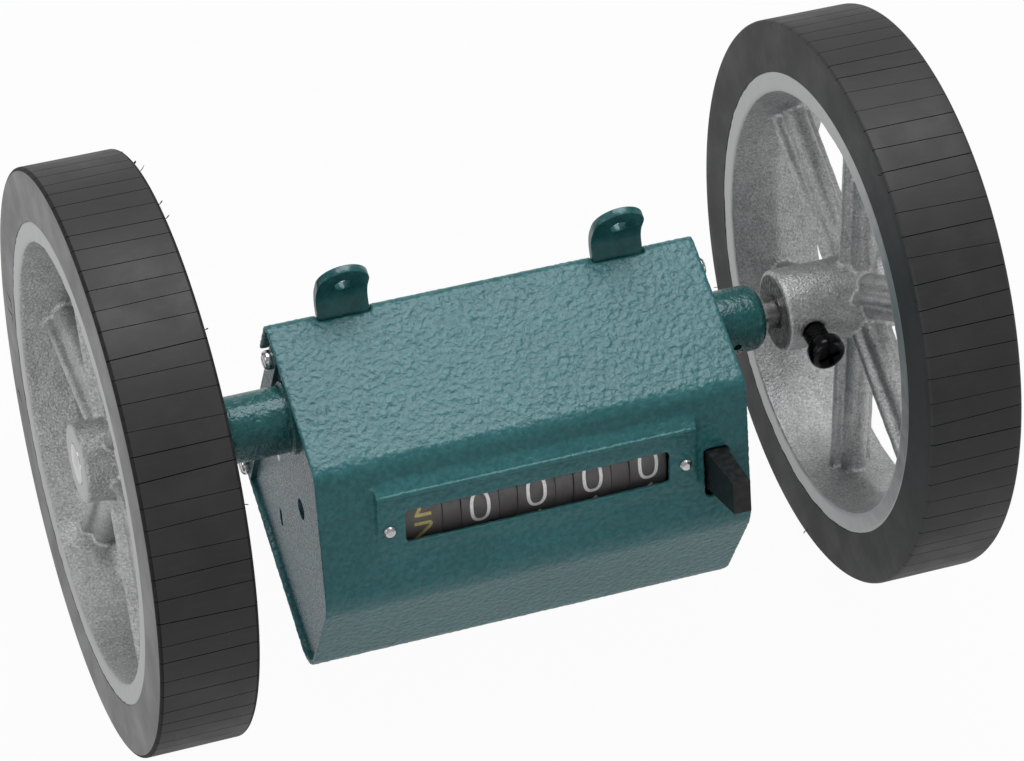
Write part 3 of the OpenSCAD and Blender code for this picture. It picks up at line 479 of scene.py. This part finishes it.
def tyre(name, side, seed, edge):
    """A tyre with fine cuts across its tread, none quite like the next, and the given edge material on
    its shoulder bands.
    """
    rng = np.random.default_rng(seed)
    mid = side * WHEEL_MID
    profile = tyre_profile()
    step = TURN / SIPES
    jitter = rng.uniform(-SIPE_JITTER_SHARE, SIPE_JITTER_SHARE, SIPES)
    at = math.radians(SIPE_PHASE) + np.arange(SIPES) * step + jitter * step
    lean = rng.uniform(-SIPE_LEAN, SIPE_LEAN, SIPES)
    deep = SIPE_DEPTH * rng.uniform(*SIPE_DEPTH_SHARES, SIPES)
    half = SIPE_HALF * rng.uniform(*SIPE_HALF_SHARES, SIPES) / TYRE_R
    columns = []
    for k in range(SIPES):
        m = (k + 1) % SIPES
        columns.append((at[k] - half[k], lean[k], 0.0))
        columns.append((at[k], lean[k], deep[k]))
        columns.append((at[k] + half[k], lean[k], 0.0))
        first, last = at[k] + half[k], at[m] + (TURN if m == 0 else 0.0) - half[m]
        for j in range(1, BETWEEN + 1):
            share = j / (BETWEEN + 1)
            columns.append((first + (last - first) * share, lean[k] + (lean[m] - lean[k]) * share, 0.0))
    cut_from = TYRE_R - SHOULDER * SIPE_REACH_SHARE
    edge_from = TYRE_R - SHOULDER * (1 + SHOULDER_SLACK_SHARE)
    edge_to = TYRE_R - SHOULDER * SHOULDER_SLACK_SHARE
    mesh = bmesh.new()
    rings = []
    for angle, slant, cut in columns:
        ring = []
        for x, r in profile:
            low_r = r - cut if r > cut_from else r
            ring.append(mesh.verts.new(about_shaft(mid + x, low_r, angle + slant * x / TYRE_W)))
        rings.append(ring)
    count = len(profile)
    for i in range(len(rings)):
        a, b = rings[i], rings[(i + 1) % len(rings)]
        cut = columns[i][2] > 0 or columns[(i + 1) % len(rings)][2] > 0
        for j in range(count):
            n = (j + 1) % count
            face = mesh.faces.new((a[j], b[j], b[n], a[n]))
            low, high = sorted((profile[j][1], profile[n][1]))
            # Faces inside a cut take painted shade.
            in_cut = cut and low > cut_from
            # Shoulder band faces take the edge material, which on the left tyre is painted shade.
            on_edge = edge_from < low < edge_to and high > low
            face.material_index = 1 if in_cut else 2 if on_edge else 0
    made = piece(name, mesh, [RUBBER, CUT_SHADE, edge], "wheels")
    smooth(made, CREASE)
    return made


def tube(mesh, points, radii, sides=6):
    """A closed tube through points in mm, with a radius at each. None may run along across."""
    across = (0.3, 0.5, 0.8)
    rows = []
    for i, p in enumerate(points):
        d = np.array(points[min(i + 1, len(points) - 1)]) - np.array(points[max(i - 1, 0)])
        d = d / np.linalg.norm(d)
        u = np.cross(d, across)
        u = u / np.linalg.norm(u)
        w = np.cross(d, u)
        row = []
        for k in range(sides):
            a = TURN * k / sides
            row.append(mesh.verts.new(MM * Vector(p + radii[i] * (u * math.cos(a) + w * math.sin(a)))))
        rows.append(row)
    for a, b in zip(rows[:-1], rows[1:]):
        for k in range(sides):
            m = (k + 1) % sides
            mesh.faces.new((a[k], a[m], b[m], b[k]))
    mesh.faces.new(rows[0])
    mesh.faces.new(list(reversed(rows[-1])))


# Threads of flash at a tyre's inner side: side, degrees about the shaft, length and tip radius in mm
WHISKERS = (
    (-1, 35.0, 0.6, 0.2), (-1, 45.8, 0.7, 0.22), (-1, 50.3, 1.2, 0.07), (-1, 64.1, 0.9, 0.13),
    (-1, 68.6, 0.9, 0.12), (-1, 94.9, 0.7, 0.15), (-1, 214.0, 0.8, 0.12), (-1, 128.0, 0.7, 0.1),
    (1, 92.5, 0.8, 0.12), (1, 118.0, 0.7, 0.1), (1, 240.0, 0.8, 0.12), (1, 302.0, 0.8, 0.1),
)
WHISKER_FOOT_R = 0.12
WHISKER_STEM_R = 0.07
WHISKER_END_SHARE = 0.4
WHISKER_BELOW_TREAD = 1.05
WHISKER_RISE_SHARE = 0.9
WHISKER_SUNK = 0.15


def whiskers():
    """Short threads of flash left at the ends of some cuts, curling up as they leave the tyre."""
    mesh = bmesh.new()
    for side, deg, length, tip in WHISKERS:
        a = math.radians(deg)
        radii = [WHISKER_FOOT_R, WHISKER_STEM_R, WHISKER_STEM_R, tip, tip * WHISKER_END_SHARE]
        points = []
        for t in np.linspace(0, 1, len(radii)):
            x = side * TYRE_IN - side * (length * t - WHISKER_SUNK)
            r = TYRE_R - WHISKER_BELOW_TREAD + length * WHISKER_RISE_SHARE * t * t
            points.append(np.array((x, r * math.cos(a), r * math.sin(a))))
        tube(mesh, points, radii)
    return piece("rubber_flash", mesh, [RUBBER], "wheels")


# Splits in the left tyre's outer side as corners (radius in mm, degrees about the shaft)
SPLITS = (
    ((52.6, 337.2), (45.9, 337.6), (46.2, 334.1)),
    ((52.4, 332.0), (45.6, 333.8), (46.8, 329.7)),
    ((52.3, 313.0), (49.2, 312.2), (47.2, 309.0)),
)
SPLIT_STEPS = 6
SPLIT_SUNK = 0.16
SPLIT_END_R = 0.08
SPLIT_SWELL = 0.15


def splits():
    """Splits in the left tyre's outer side, drawn as thin lips of painted shade that stand just proud."""
    mesh = bmesh.new()
    for path in SPLITS:
        points = []
        for (r0, a0), (r1, a1) in zip(path[:-1], path[1:]):
            for t in np.linspace(0, 1, SPLIT_STEPS, endpoint=False):
                points.append((r0 + (r1 - r0) * t, math.radians(a0 + (a1 - a0) * t)))
        points.append((path[-1][0], math.radians(path[-1][1])))
        x = -TYRE_IN - TYRE_W + SPLIT_SUNK
        places = [np.array((x, r * math.cos(a), r * math.sin(a))) for r, a in points]
        n = len(places)
        swell = [math.sin(math.pi * (i + 0.5) / n) for i in range(n)]
        tube(mesh, places, [SPLIT_END_R + SPLIT_SWELL * s for s in swell])
    return piece("tyre_splits", mesh, [CUT_SHADE], "wheels")


# Hub screws: their places and sizes repeat the part's own. Heights are distances from the shaft's axis
SCREW_X = 58.5
SCREW_ANGLE = 157.0
SCREW_R = 2.0
THREAD_PITCH = 0.75
THREAD_FROM = 7.7
THREAD_TO = 12.1
THREAD_R = 0.2
STEPS_PER_TURN = 24


def threads():
    """The thread on the part of each hub screw that shows, as a coil round its shank."""
    mesh = bmesh.new()
    a = math.radians(SCREW_ANGLE)
    out = np.array((0, math.cos(a), math.sin(a)))
    across = np.array((0, -math.sin(a), math.cos(a)))
    along = np.array((1.0, 0, 0))
    turns = (THREAD_TO - THREAD_FROM) / THREAD_PITCH
    steps = int(turns * STEPS_PER_TURN)
    for side in (-1, 1):
        points = []
        for i in range(steps + 1):
            t = TURN * turns * i / steps
            height = THREAD_FROM + THREAD_PITCH * t / TURN
            sideways = across * math.cos(t) + along * math.sin(t)
            points.append(np.array((side * SCREW_X, 0, 0)) + out * height + sideways * SCREW_R)
        tube(mesh, points, [THREAD_R] * len(points), sides=4)
    return piece("screw_threads", mesh, [BLACKED], "wheels")


whiskers()
splits()
threads()

# The left tyre's shoulders carry painted shade; the right tyre's are plain rubber.
for name, side, seed, edge in (("left", -1, 3, SHOULDER_SHADE), ("right", 1, 8, RUBBER)):
    rubber = tyre(name + "_tyre_cut", side, seed, edge)
    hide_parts(name + "_tyre")


# Figures. Sizes in mm. Angles in degrees about the figure wheels' axle, from +Y
FIGURE_H = 5.8
FIGURE_W = 3.25
STROKE = 0.62
STROKE_STEP = 0.35
STROKE_END_SHARE = 0.25
INK_T = 0.05
FIGURE_STEP = 36.0

# Where the zeros of wheels 2 to 5 stand. On wheel 1, LOW_READS stands at LOW_AT, between two figures
ZERO_AT = {2: 145.4, 3: 142.6, 4: 141.4, 5: 140.8}
LOW_AT = 144.9
LOW_READS = 2.5


def arc(cx, cy, rx, ry, a0, a1, n=10):
    """Points along an ellipse's arc from a0 to a1 degrees."""
    return [
        (cx + rx * math.cos(math.radians(a)), cy + ry * math.sin(math.radians(a)))
        for a in np.linspace(a0, a1, n)
    ]


def figure_path(k):
    """Centre line of a figure in a box of half width 1 and half height 1."""
    if k == 0:
        pts = []
        for a in np.linspace(0, TURN, 37):
            c, s = math.cos(a), math.sin(a)
            pts.append((math.copysign(abs(c) ** 0.78, c), math.copysign(abs(s) ** 0.78, s)))
        return pts
    if k == 1:
        return [(-0.45, 0.6), (0.1, 1.0), (0.1, -1.0)]
    if k == 2:
        foot = [(-0.75, -0.72), (-0.88, -0.9), (-0.75, -1.0), (0.95, -1.0)]
        return arc(0, 0.42, 0.95, 0.58, 165, -25) + foot
    if k == 3:
        return [(-0.85, 1.0), (0.85, 1.0), (-0.05, 0.2)] + arc(0, -0.38, 0.92, 0.62, 80, -155)
    if k == 4:
        return [(0.3, -1.0), (0.3, 1.0), (-0.95, -0.45), (0.95, -0.45)]
    if k == 5:
        return [(0.8, 1.0), (-0.65, 1.0), (-0.8, 0.1)] + arc(0, -0.33, 0.92, 0.67, 125, -150)
    if k == 6:
        return [(0.45, 1.0), (-0.75, -0.02)] + arc(0, -0.4, 0.92, 0.6, 150, -210, 22)
    if k == 7:
        return [(-0.9, 1.0), (0.9, 1.0), (-0.25, -1.0)]
    if k == 8:
        low = arc(0, -0.47, 0.92, 0.53, 90, -270, 20)
        return low + arc(0, 0.53, 0.75, 0.47, -90, 270, 20)
    return [(-x, -y) for x, y in figure_path(6)]


def stroke_mesh(mesh, path, x0, centre_angle):
    """Lays one stroke as thin raised ink round the drum. Reading right is -X and up is down the front."""
    pts = np.array([(u * FIGURE_W / 2, v * FIGURE_H / 2) for u, v in path])
    ends = not np.allclose(pts[0], pts[-1])
    fine = [pts[0]]
    for a, b in zip(pts[:-1], pts[1:]):
        n = max(1, int(np.linalg.norm(b - a) / STROKE_STEP))
        fine += [a + (b - a) * (i + 1) / n for i in range(n)]
    fine = np.array(fine)
    if not ends:
        fine = fine[:-1]
    n = len(fine)
    rows = []
    for i in range(n):
        before = fine[i - 1] if i or not ends else fine[0]
        after = fine[(i + 1) % n] if i < n - 1 or not ends else fine[-1]
        d = after - before
        d = d / np.linalg.norm(d)
        side = np.array([-d[1], d[0]]) * STROKE / 2
        p = fine[i].copy()
        if ends and i == 0:
            p -= d * STROKE * STROKE_END_SHARE
        if ends and i == n - 1:
            p += d * STROKE * STROKE_END_SHARE
        row = []
        for s, lift in ((1, -INK_T), (1, INK_T), (-1, INK_T), (-1, -INK_T)):
            q = p + side * s
            a = math.radians(centre_angle) + q[1] / DRUM_R
            r = DRUM_R + lift
            place = Vector((x0 - q[0], DRUM_Y + r * math.cos(a), DRUM_Z + r * math.sin(a)))
            row.append(mesh.verts.new(MM * place))
        rows.append(row)
    last = n if not ends else n - 1
    for i in range(last):
        a, b = rows[i], rows[(i + 1) % n]
        for j in range(4):
            m = (j + 1) % 4
            mesh.faces.new((a[j], a[m], b[m], b[j]))
    if ends:
        mesh.faces.new(rows[0])
        mesh.faces.new(list(reversed(rows[-1])))


def figures(k):
    """The ten inked figures of figure wheel k, counted from the left."""
    ink = bmesh.new()
    x0 = DRUM_MID_X + (k - 3) * DRUM_PITCH
    for figure in range(10):
        if k == 1:
            centre = LOW_AT + (LOW_READS - figure) * FIGURE_STEP
        else:
            centre = ZERO_AT[k] - figure * FIGURE_STEP
        stroke_mesh(ink, figure_path(figure), x0, centre)
    inked = piece("figures_ink_%d" % k, ink, [YELLOW if k == 1 else WHITE], "figures_%d" % k)


for k in (1, 2, 3, 4, 5):
    figures(k)

# Guard between the figure wheels: radii and places in mm, angles as for the figures. Strip and stem
# are sections as points (y, z)
SHIELD_IN = 11.35
SHIELD_OUT = 11.85
SHIELD_FROM = 92.0
SHIELD_TO = 172.0
SHIELD_POINTS = 17
SHIELD_ROOM = 0.2
SHIELD_END = 38.35
SHIELD_FINGER_END = -26.6
SHIELD_EDGE = 0.06
STRIP = ((-14.6, 0.35), (-10.6, 0.35), (-10.6, 1.0), (-14.6, 1.0))
STEM = ((-13.2, -0.95), (-12.2, -0.95), (-12.2, 0.5), (-13.2, 0.5))


def bar(mesh, x0, x1, section):
    """A closed bar along X with its section given as points (y, z) in mm."""
    ends = [[mesh.verts.new(MM * Vector((x, y, z))) for y, z in section] for x in (x0, x1)]
    count = len(section)
    for i in range(count):
        k = (i + 1) % count
        mesh.faces.new((ends[0][i], ends[0][k], ends[1][k], ends[1][i]))
    mesh.faces.new(ends[0])
    mesh.faces.new(list(reversed(ends[1])))


def shield():
    """The grey guard whose fingers fill the gaps between the figure wheels."""
    mesh = bmesh.new()
    bar(mesh, -SHIELD_END, SHIELD_END, STRIP)
    angles = [math.radians(a) for a in np.linspace(SHIELD_FROM, SHIELD_TO, SHIELD_POINTS)]
    outer = [(DRUM_Y + SHIELD_OUT * math.cos(a), DRUM_Z + SHIELD_OUT * math.sin(a)) for a in angles]
    inner = [(DRUM_Y + SHIELD_IN * math.cos(a), DRUM_Z + SHIELD_IN * math.sin(a)) for a in angles]
    for k in range(5):
        right = DRUM_MID_X + (k - 2) * DRUM_PITCH - DRUM_HALF - SHIELD_ROOM
        left = max(right - DRUM_PITCH + 2 * DRUM_HALF + 2 * SHIELD_ROOM, SHIELD_FINGER_END)
        bar(mesh, left, right, outer + inner[::-1])
        bar(mesh, left, right, STEM)
    made = piece("figure_guard", mesh, [DRUM], "casing")
    smooth(made, CREASE)
    bevel = made.modifiers.new("edges", "BEVEL")
    bevel.width = SHIELD_EDGE * MM
    bevel.segments = 2
    bevel.limit_method = "ANGLE"
    return made


shield()

# Crest along the top of the window surround, in mm, with its ends drawn in
CREST_Y = -21.02
CREST_Z = 3.98
CREST_HALF = 30.1
CREST_R = 0.6
CREST_POINTS = 121
CREST_SIDES = 14
CREST_CREASE = 60
CREST_SWELL_SHARES = (0.78, 1.08)
CREST_END_SHARES = (0.4, 0.7, 0.9)


def crest():
    """The rounded crest of the window surround, uneven with thick paint."""
    rng = np.random.default_rng(5)
    mesh = bmesh.new()
    places = np.linspace(-CREST_HALF, CREST_HALF, CREST_POINTS)
    points = [np.array((x, CREST_Y, CREST_Z)) for x in places]
    swell = CREST_R * rng.uniform(*CREST_SWELL_SHARES, len(points))
    drawn_in = len(CREST_END_SHARES)
    swell[:drawn_in] *= CREST_END_SHARES
    swell[-drawn_in:] *= CREST_END_SHARES[::-1]
    tube(mesh, points, list(swell), sides=CREST_SIDES)
    made = piece("surround_crest", mesh, [PAINT], "casing")
    smooth(made, CREST_CREASE)
    return made


crest()

# Camera, fitted to the photograph: place and clipping in metres, turn in degrees, lens in mm
CAMERA_PLACE = (-0.199328, -0.298887, 0.666709)
CAMERA_TURN = (27.01194, -8.63548, -17.71605)
LENS = 147.268
SENSOR = 36.0
NEAR = 0.01
FAR = 20

camera = placed("camera", bpy.data.cameras.new("camera"))
camera.location = CAMERA_PLACE
camera.rotation_euler = tuple(math.radians(a) for a in CAMERA_TURN)
camera.data.lens = LENS
camera.data.sensor_width = SENSOR
camera.data.clip_start = NEAR
camera.data.clip_end = FAR
bpy.context.scene.camera = camera

# Floor, in metres, and how white the camera and mirror-like surfaces see it
FLOOR_Z = -TYRE_R * MM
FLOOR_HALF = 4.0
SEEN = 0.96
MIRRORED = 0.6


def floor_look():
    """White to the camera, with the object's shadow kept, and a pale surface to the light."""
    look = Look("floor", Roughness=0.9, Specular_IOR_Level=0.0)
    dust = look.noise(60, 3)
    look.set("Base Color", look.blend(dust, grey(0.5), grey(0.52)))
    rays = look.add("ShaderNodeLightPath").outputs
    through = look.calc("MAXIMUM", rays["Is Camera Ray"], rays["Is Transmission Ray"])
    mirrored = look.calc("MULTIPLY", rays["Is Glossy Ray"], MIRRORED)
    seen = look.calc("MAXIMUM", through, mirrored)
    glow = look.add("ShaderNodeEmission", {"Color": grey(1.0), "Strength": 1.0})
    mixed = look.add("ShaderNodeMixShader", {"Fac": look.calc("MULTIPLY", seen, SEEN)})
    look.tree.links.new(look.shader.outputs[0], mixed.inputs[1])
    look.tree.links.new(glow.outputs[0], mixed.inputs[2])
    look.tree.links.new(mixed.outputs[0], look.out.inputs[0])
    return look.material


def add_floor():
    """A wide square floor under the tyres."""
    mesh = bmesh.new()
    corners = [(-1, -1), (1, -1), (1, 1), (-1, 1)]
    mesh.faces.new([mesh.verts.new((x * FLOOR_HALF, y * FLOOR_HALF, FLOOR_Z)) for x, y in corners])
    data = bpy.data.meshes.new("floor")
    mesh.to_mesh(data)
    mesh.free()
    data.materials.append(floor_look())
    made = placed("floor", data)


add_floor()


# Lamps that face the origin: name, place in metres, size in metres and power in watts
LAMPS = (
    ("overhead", (0.12, 0.54, 0.84), (0.8, 0.6), 7.6),
    ("right fill", (0.85, -0.45, 0.35), (0.5, 0.5), 1.0),
    ("front fill", (-0.5, -0.6, 0.55), (0.5, 0.5), 1.3),
    ("left fill", (-0.95, 0.14, 0.32), (0.5, 0.5), 1.6),
)
WORLD_LIGHT = 0.35
WORLD_SEEN = 1.0


def area_light(name, place, size, power):
    """A rectangular lamp that faces the origin."""
    lamp = bpy.data.lights.new(name, "AREA")
    lamp.shape = "RECTANGLE"
    lamp.size, lamp.size_y = size
    lamp.energy = power
    made = placed(name, lamp)
    made.location = place
    made.rotation_mode = "QUATERNION"
    made.rotation_quaternion = (-Vector(place)).to_track_quat("-Z", "Y")


for lamp_sizes in LAMPS:
    area_light(*lamp_sizes)


def world_look():
    """An even world that is white to the camera and through glass, and dimmer as a light."""
    world = bpy.data.worlds.new("studio")
    bpy.context.scene.world = world
    world.use_nodes = True
    tree = world.node_tree
    tree.nodes.clear()
    out = tree.nodes.new("ShaderNodeOutputWorld")
    sky = tree.nodes.new("ShaderNodeBackground")
    rays = tree.nodes.new("ShaderNodeLightPath").outputs
    seen = tree.nodes.new("ShaderNodeMath")
    seen.operation = "MAXIMUM"
    tree.links.new(rays["Is Camera Ray"], seen.inputs[0])
    tree.links.new(rays["Is Transmission Ray"], seen.inputs[1])
    level = tree.nodes.new("ShaderNodeMapRange")
    level.inputs["To Min"].default_value = WORLD_LIGHT
    level.inputs["To Max"].default_value = WORLD_SEEN
    tree.links.new(seen.outputs[0], level.inputs["Value"])
    tree.links.new(level.outputs[0], sky.inputs["Strength"])
    sky.inputs["Color"].default_value = grey(1.0)
    tree.links.new(sky.outputs[0], out.inputs[0])


world_look()
bpy.context.scene.view_settings.view_transform = "Standard"
